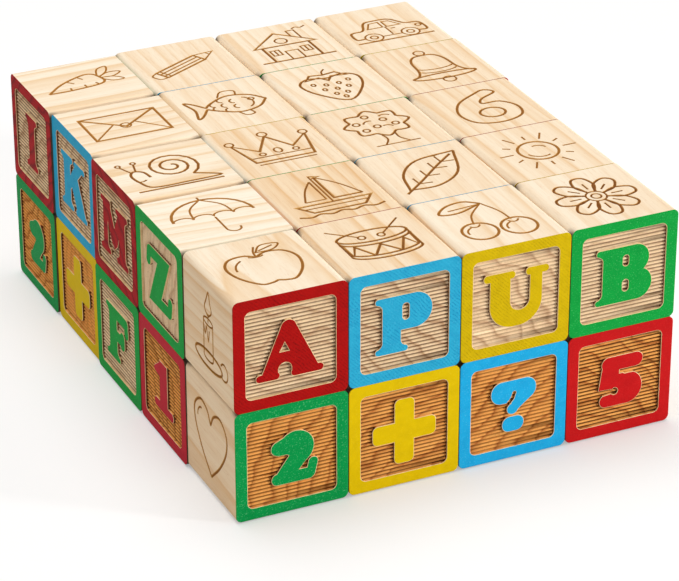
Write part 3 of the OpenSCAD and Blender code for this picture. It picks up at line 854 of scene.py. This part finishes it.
def heights(local):
    """Height on the ribs, and on the sides depth in a burnt line, as 1 at the top and 0 at the bottom."""
    crest = np.clip((np.abs(local[:, 2]) - END + PANEL_DEEP) / RIB_HIGH, 0, 1)
    reach = np.abs(local[:, :2]).max(1)
    on_side = reach > HALF - 2 * LINE_DEEP
    crest[on_side] = 1 - np.clip((HALF - reach[on_side]) / LINE_DEEP, 0, 1)
    return crest


def add_object(name, data):
    added = bpy.data.objects.new(name, data)
    bpy.context.scene.collection.objects.link(added)
    return added


def give(mesh, name, *columns):
    """Stores one value or three for each vertex of a mesh."""
    kind, field = ("FLOAT", "value") if len(columns) == 1 else ("FLOAT_VECTOR", "vector")
    values = np.stack(np.broadcast_arrays(*columns), 1).astype(np.float32)
    mesh.attributes.new(name, kind, "POINT").data.foreach_set(field, values.ravel())


def build_block(index, materials):
    """One block made from its solid, with its materials and what these read."""
    short, letter_paint, sign_paint, turn = LAYOUT[index]
    name = PREFIX + short
    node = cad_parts[name]
    low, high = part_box(name)
    centre = (Vector(low) + Vector(high)) / 2
    a = math.radians(turn)
    right = Vector((math.cos(a), math.sin(a), 0))
    out = Vector((math.sin(a), -math.cos(a), 0))
    axes = Matrix((right, UP, out)).transposed().to_4x4()
    to_row = Matrix.Translation(centre) @ axes @ Matrix.Scale(MM, 4)

    bm = bmesh.new()
    bm.from_mesh(node.data)
    bm.transform(to_row.inverted() @ node.matrix_world)
    bmesh.ops.remove_doubles(bm, verts=bm.verts, dist=SAME_IN_SOLID)
    bm.normal_update()
    sort_old_faces(bm, short in UPRIGHT_RIBS)
    wear_end(bm, 1)
    wear_end(bm, -1)
    rng = random.Random(SEED + index)
    burn, sides = burn_pictures(bm, index, to_row, rng)
    bmesh.ops.remove_doubles(bm, verts=bm.verts, dist=SAME_IN_BLOCK)
    bm.normal_update()

    local = np.array([v.co for v in bm.verts])
    grain, clear = grain_of(local, short, rng)
    tones, hidden = side_looks(local, sides)
    bm.transform(to_row)
    mesh = bpy.data.meshes.new("visual_" + name)
    bm.to_mesh(mesh)
    bm.free()
    for key in ("wood", ("letter", letter_paint), ("sign", sign_paint), "bare", "pale_panel",
                "scorched_panel", "burnt", "pale_wall", "scorched_wall"):
        mesh.materials.append(materials[key])
    rounded = np.empty(len(mesh.polygons), bool)
    mesh.polygons.foreach_get("use_smooth", rounded)
    mesh.set_sharp_from_angle(angle=math.radians(SMOOTH_BELOW))
    mesh.polygons.foreach_set("use_smooth", rounded)

    give(mesh, "grain", *grain)
    give(mesh, "look", burn, tones, clear)
    give(mesh, "spot", local[:, 2], hidden, GROOVES.get(short, PLAIN_GROOVE))
    give(mesh, "crest", heights(local))
    piece = add_object("visual_" + name, mesh)
    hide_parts(name)
    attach(piece, name)


# Materials

BUMP_DEEP = 0.0001


def linear(colour):
    """A colour given as it looks on screen, from 0 to 255, as the shader wants it."""
    out = []
    for c in colour:
        c /= 255
        out.append(c / 12.92 if c <= 0.04045 else ((c + 0.055) / 1.055) ** 2.4)
    return (*out, 1)


def add_node(tree, kind, inputs=None, **settings):
    """Adds a node and fills its inputs, each with a value or from another node."""
    node = tree.nodes.new("ShaderNode" + kind)
    for key, value in settings.items():
        setattr(node, key, value)
    fill_inputs(tree, node, inputs or {})
    return node


def fill_inputs(tree, node, inputs):
    for key, value in inputs.items():
        if isinstance(value, bpy.types.NodeSocket):
            tree.links.new(value, node.inputs[key])
        else:
            node.inputs[key].default_value = value


class Nodes:
    """A short way to write the nodes of a material that lies on wood."""

    def __init__(self, name):
        self.material = bpy.data.materials.new(name)
        self.material.use_nodes = True
        self.tree = self.material.node_tree
        self.place = self.stored("grain")
        self.burn, self.tone, self.contrast = self.split(self.stored("look"))
        self.from_middle, self.hidden, self.groove = self.split(self.stored("spot"))
        self.crest = self.stored("crest", "Fac")
        self.ring = self.rings()
        self.fibre = self.noise(self.stretch(self.place, (1, 1, 0.05)), 2.4, 3.0, 0.6)
        self.streak = self.noise(self.stretch(self.place, (1, 1, 0.03)), 0.5, 2.0, 0.55)
        self.fleck = self.noise(self.stretch(self.place, (1, 1, 0.12)), 5.5, 1.0)

    def add(self, kind, inputs=None, **settings):
        return add_node(self.tree, kind, inputs, **settings).outputs

    def rings(self):
        """The tree's rings, each from 0 to 1, uneven and a little wavy."""
        along = self.stretch(self.place, (1, 1, 0.2))
        wander = self.add("TexNoise", {"Vector": along, "Scale": 0.055, "Detail": 1.5})["Color"]
        across = self.stretch(self.place, (1, 1, 0))
        wavy = self.add("VectorMath", {0: wander, 1: (5, 5, 0), 2: across}, operation="MULTIPLY_ADD")[0]
        radius = self.add("VectorMath", {0: wavy}, operation="LENGTH")["Value"]
        uneven = self.noise(self.stretch(self.place, (1, 1, 0.02)), 0.12, 1.0)
        return self.math("FRACT", self.plus(self.times(radius, 0.25), self.times(uneven, 2.0)))

    def stored(self, name, output="Vector"):
        return self.add("Attribute", attribute_name=name)[output]

    def split(self, vector):
        return self.add("SeparateXYZ", {0: vector})[:3]

    def math(self, operation, *values):
        return self.add("Math", dict(enumerate(values)), operation=operation)[0]

    def times(self, a, b):
        return self.math("MULTIPLY", a, b)

    def plus(self, a, b):
        return self.math("ADD", a, b)

    def stretch(self, vector, scale):
        return self.add("VectorMath", {0: vector, 1: scale}, operation="MULTIPLY")[0]

    def noise(self, vector, scale, detail=2.0, roughness=0.5):
        inputs = {"Vector": vector, "Scale": scale, "Detail": detail, "Roughness": roughness}
        return self.add("TexNoise", inputs)["Fac"]

    def ramp(self, value, *stops):
        """Grey levels at places from 0 to 1."""
        node = add_node(self.tree, "ValToRGB", {0: value})
        band = node.color_ramp
        while len(band.elements) < len(stops):
            band.elements.new(0.5)
        for element, (at, grey) in zip(band.elements, stops):
            element.position = at
            element.color = (grey, grey, grey, 1)
        return node.outputs[0]

    def level(self, value, low, high, to_low=0.0, to_high=1.0):
        """Spreads what lies between two values over two others."""
        inputs = {"Value": value, "From Min": low, "From Max": high, "To Min": to_low, "To Max": to_high}
        return self.add("MapRange", inputs)[0]

    def mix(self, factor, a, b, blend="MIX"):
        """Mixes two colours. Three plain numbers are a colour as it looks on screen."""
        a, b = (linear(c) if isinstance(c, tuple) and len(c) == 3 else c for c in (a, b))
        return self.add("Mix", {0: factor, 6: a, 7: b}, data_type="RGBA", blend_type=blend)[2]

    def done(self, colour, gloss, uneven, smooth, rough, height, strength=0.3):
        """Sets the shader: its colour, its gloss, a roughness between two values, and a fine bump."""
        bump = self.add("Bump", {"Strength": strength, "Distance": BUMP_DEEP, "Height": height})[0]
        roughness = self.level(uneven, 0.3, 0.7, smooth, rough)
        fill_inputs(self.tree, self.tree.nodes["Principled BSDF"], {
            "Base Color": colour, "Roughness": roughness, "Specular IOR Level": gloss, "Normal": bump})
        return self.material


def wood_colour(n, pale, late, dark):
    """Pale early wood, darker late wood at the end of each ring, and fine fibres along it."""
    late_wood = n.ramp(n.ring, (0.0, 0.16), (0.1, 0.0), (0.5, 0.12), (0.8, 0.6), (0.93, 1.0), (1.0, 0.2))
    strength = n.plus(n.times(n.contrast, 0.45), 0.2)
    colour = n.mix(n.times(late_wood, strength), pale, late)
    colour = n.mix(n.level(n.streak, 0.45, 0.8, 0.0, 0.32), colour, late)
    colour = n.mix(n.level(n.fibre, 0.52, 0.8, 0.0, 0.3), colour, dark)
    return n.mix(n.level(n.fleck, 0.66, 0.8, 0.0, 0.35), colour, dark)


def wood_material():
    """Sanded sides. Where blocks lie against each other, the wood close to the ends is painted dark as shade
    in the gaps between them.
    """
    n = Nodes("sanded_pine")
    warmth = (0.84, 0.63, 0.39, 1)
    gap_shade_colour = (52, 32, 20)
    colour = wood_colour(n, (245, 234, 214), (222, 178, 114), (204, 158, 104))
    # Warmer and darker where the tone is higher; on the front left sides of blocks a and t this is painted
    # shade
    colour = n.mix(n.times(n.tone, 0.75), colour, warmth, "MULTIPLY")
    # Painted shade: dark close to the ends of sides that face a neighbour, where the gaps between blocks lie
    # in shade
    gap_shade_reach = n.level(n.math("ABSOLUTE", n.from_middle), HALF - GAP_SHADE_LONG, HALF - GAP_SHADE_FULL)
    colour = n.mix(n.times(n.times(gap_shade_reach, n.hidden), 0.92), colour, gap_shade_colour)
    return n.done(colour, 0.1, n.fibre, 0.5, 0.66, n.fibre, 0.25)


def bare_material():
    """Wood that shows bare at worn edges and on walls along the ribs."""
    n = Nodes("bare_cut_pine")
    colour = wood_colour(n, (236, 208, 160), (196, 150, 96), (150, 104, 62))
    return n.done(colour, 0.25, n.fibre, 0.6, 0.8, n.fleck)


def panel_material(name, pale, late, dark, groove_shade, strength):
    """End grain under the ribs, where the rings show as dark arcs."""
    n = Nodes(name)
    arcs = n.ramp(n.ring, (0.0, 0.25), (0.08, 0.0), (0.55, 0.08), (0.78, 0.5), (0.9, 1.0), (1.0, 0.35))
    clear = n.plus(n.times(n.contrast, 0.5), strength)
    colour = n.mix(n.times(arcs, clear), pale, late)
    torn = n.noise(n.place, 1.6, 4.0, 0.7)
    colour = n.mix(n.level(torn, 0.5, 0.78, 0.0, 0.35), colour, dark)
    # Darker towards the bottom of each groove: partly scorch from the cutter, partly painted shade in the
    # groove
    colour = n.mix(n.times(n.level(n.crest, 0.25, 0.6, 1.0, 0.0), n.groove), colour, groove_shade)
    return n.done(colour, 0.05, torn, 0.62, 0.85, torn)


def wall_material(name, pale, dark):
    """Walls of the relief at the ends of the ribs, where the cutter burnt them."""
    n = Nodes(name)
    colour = n.mix(n.level(n.fibre, 0.35, 0.7), pale, dark)
    return n.done(colour, 0.05, n.fleck, 0.65, 0.85, n.fleck)


def burnt_material():
    """Lines that are golden at their edges and brown in the middle, darker the longer they were burnt."""
    n = Nodes("burnt_line")
    streaks = n.level(n.fibre, 0.3, 0.7)
    golden = n.mix(streaks, (206, 158, 88), (178, 126, 62))
    brown = n.mix(streaks, (128, 76, 34), (92, 50, 22))
    middle = n.mix(n.burn, (176, 120, 52), brown)
    colour = n.mix(n.level(n.crest, 0.15, 0.8), middle, golden)
    return n.done(colour, 0.1, n.fleck, 0.7, 0.9, n.fleck)


def paint_material(name, colour, dark, light, rings, hatch, speckle):
    """A thin coat rolled over end grain: rings and saw marks darken it, and the roller leaves fine dots."""
    n = Nodes(name)
    arcs = n.ramp(n.ring, (0.0, 0.2), (0.12, 0.0), (0.55, 0.1), (0.88, 1.0), (1.0, 0.3))
    base = n.mix(n.times(arcs, n.times(n.contrast, rings)), colour, dark)
    cloudy = n.noise(n.place, 0.35, 3.0, 0.6)
    base = n.mix(n.level(cloudy, 0.4, 0.75, 0.0, 0.25), base, dark)
    x, y = n.split(n.place)[:2]
    across = n.plus(n.times(x, 0.72), n.times(y, 0.7))
    wobble = n.times(n.noise(n.place, 0.2, 2.0), 1.6)
    saw = n.math("SINE", n.times(n.plus(across, wobble), 8.6))
    broken = n.level(n.noise(n.place, 2.2, 1.0), 0.36, 0.6)
    patch = n.level(n.noise(n.place, 0.1, 1.0), 0.36, 0.6, 0.25, 1.0)
    marks = n.times(n.times(n.level(saw, 0.1, 0.9), broken), patch)
    base = n.mix(n.times(marks, hatch), base, dark)
    dots = n.noise(n.place, 2.6, 1.5, 0.6)
    base = n.mix(n.level(dots, 0.58, 0.74, 0.0, speckle), base, light)
    return n.done(base, 0.04, dots, 0.5, 0.66, n.plus(dots, n.times(marks, 0.6)), 0.25)


materials = {
    "wood": wood_material(),
    "bare": bare_material(),
    "pale_panel": panel_material("pale_ribbed_panel", (246, 218, 178), (168, 114, 72),
                                 (160, 110, 72), (84, 52, 34), 0.2),
    "scorched_panel": panel_material("scorched_ribbed_panel", (244, 174, 92), (164, 86, 36),
                                     (136, 70, 26), (66, 30, 12), 0.35),
    "pale_wall": wall_material("burnt_wall", (136, 96, 68), (84, 54, 36)),
    "scorched_wall": wall_material("scorched_wall", (112, 64, 32), (66, 34, 16)),
    "burnt": burnt_material(),
}
# Paint on the letter ends shows the saw, paint on the sign ends is thicker and speckled.
# Each paint: its colour, a darker and a lighter one, and how clear rings, saw marks and dots are.
PAINTS = {
    ("letter", "red"): ((166, 14, 12), (112, 8, 8), (190, 44, 36), 0.12, 0.7, 0.25),
    ("letter", "crimson"): ((172, 16, 22), (100, 4, 10), (200, 64, 60), 0.9, 0.4, 0.2),
    ("letter", "blue"): ((44, 164, 200), (12, 116, 168), (104, 200, 228), 0.12, 0.65, 0.25),
    ("letter", "yellow"): ((202, 172, 4), (150, 124, 0), (222, 200, 56), 0.1, 0.6, 0.25),
    ("letter", "green"): ((14, 152, 60), (0, 112, 42), (84, 184, 108), 0.1, 0.2, 0.55),
    ("sign", "red"): ((188, 22, 24), (146, 10, 14), (208, 64, 60), 0.1, 0.0, 0.3),
    ("sign", "crimson"): ((186, 34, 50), (140, 20, 34), (206, 80, 84), 0.15, 0.0, 0.2),
    ("sign", "blue"): ((30, 164, 216), (16, 124, 180), (110, 200, 228), 0.1, 0.0, 0.3),
    ("sign", "yellow"): ((214, 182, 0), (178, 146, 0), (228, 206, 60), 0.1, 0.0, 0.2),
    ("sign", "green"): ((4, 142, 68), (0, 108, 50), (96, 190, 130), 0.1, 0.0, 0.55),
}
for (end, paint), values in PAINTS.items():
    materials[end, paint] = paint_material("%s_paint_on_%s_end" % (paint, end), *values)

for index in range(len(LAYOUT)):
    build_block(index, materials)


# Stage, camera and light

# The floor in metres, and the share of plain white in it; it keeps the rest of its shading and the shadow
FLOOR_HALF = 4
FLOOR_LEVEL = -0.0003
FLOOR_COLOUR = (0.93, 0.93, 0.93, 1)
FLOOR_WHITENESS = 0.35

# The sky's light on the object
SKY_COLOUR = (1, 0.945, 0.9, 1)
SKY_STRENGTH = 0.3

# The camera as fitted to the photograph, in degrees and metres, with its focal length in pixels
CAMERA_TURN = -25.0118
CAMERA_RISE = 27.2775
CAMERA_ROLL = -0.0797
CAMERA_AIM = (-0.009796, -0.027072, 0.030)
CAMERA_AWAY = 0.819745
FOCAL_PIXELS = 3200.67
PHOTO_WIDE = 679
SENSOR_WIDE = 36


def seen_directly(tree):
    """1 for what the camera sees, itself or in a reflection or through glass, 0 for light on the object."""
    light = add_node(tree, "LightPath").outputs
    seen = light["Is Camera Ray"]
    for name in ("Is Glossy Ray", "Is Transmission Ray"):
        seen = add_node(tree, "Math", {0: seen, 1: light[name]}, use_clamp=True).outputs[0]
    return seen


def floor():
    mesh = bpy.data.meshes.new("floor")
    far = FLOOR_HALF
    corners = [(x, y, FLOOR_LEVEL) for x, y in ((-far, -far), (far, -far), (far, far), (-far, far))]
    mesh.from_pydata(corners, [], [(0, 1, 2, 3)])
    plane = add_object("floor", mesh)
    material = bpy.data.materials.new("white_sweep")
    material.use_nodes = True
    tree = material.node_tree
    shader = tree.nodes["Principled BSDF"]
    fill_inputs(tree, shader, {"Base Color": FLOOR_COLOUR, "Roughness": 0.9, "Specular IOR Level": 0.0})
    white = add_node(tree, "Emission", {"Strength": 1})
    share = add_node(tree, "Math", {0: seen_directly(tree), 1: FLOOR_WHITENESS}, operation="MULTIPLY")
    mix = add_node(tree, "MixShader", {0: share.outputs[0], 1: shader.outputs[0], 2: white.outputs[0]})
    fill_inputs(tree, tree.nodes["Material Output"], {"Surface": mix.outputs[0]})
    mesh.materials.append(material)


def sky():
    world = bpy.data.worlds.new("studio")
    world.use_nodes = True
    tree = world.node_tree
    tree.nodes.clear()
    fill = add_node(tree, "Background", {"Color": SKY_COLOUR, "Strength": SKY_STRENGTH})
    white = add_node(tree, "Background", {"Color": (1, 1, 1, 1), "Strength": 1})
    mix = add_node(tree, "MixShader", {0: seen_directly(tree), 1: fill.outputs[0], 2: white.outputs[0]})
    add_node(tree, "OutputWorld", {"Surface": mix.outputs[0]})
    bpy.context.scene.world = world


def camera():
    azimuth, elevation, roll = (math.radians(v) for v in (CAMERA_TURN, CAMERA_RISE, CAMERA_ROLL))
    out = math.cos(elevation)
    back = Vector((math.sin(azimuth) * out, -math.cos(azimuth) * out, math.sin(elevation)))
    level = UP.cross(back).normalized()
    upright = back.cross(level)
    right = math.cos(roll) * level + math.sin(roll) * upright
    up = -math.sin(roll) * level + math.cos(roll) * upright
    eye = Vector(CAMERA_AIM) + CAMERA_AWAY * back
    data = bpy.data.cameras.new("camera")
    data.sensor_fit = "HORIZONTAL"
    data.sensor_width = SENSOR_WIDE
    data.lens = FOCAL_PIXELS * SENSOR_WIDE / PHOTO_WIDE
    data.clip_start = 0.01
    data.clip_end = 30
    stand = add_object("camera", data)
    stand.matrix_world = Matrix.Translation(eye) @ Matrix((right, up, back)).transposed().to_4x4()
    bpy.context.scene.camera = stand


def softbox(name, place, target, size, power):
    data = bpy.data.lights.new(name, "AREA")
    data.shape = "RECTANGLE"
    data.size = size
    data.size_y = size
    data.energy = power
    lamp = add_object(name, data)
    lamp.location = place
    lamp.rotation_euler = (Vector(target) - Vector(place)).to_track_quat("-Z", "Y").to_euler()


floor()
camera()
sky()
softbox("key", place=(1.1, -0.95, 0.2), target=(0, -0.02, 0.02), size=0.16, power=16.6)
softbox("overhead", place=(-0.08, 0.12, 1.25), target=(0, 0, 0), size=1.0, power=13.8)
bpy.context.scene.view_settings.view_transform = "Standard"
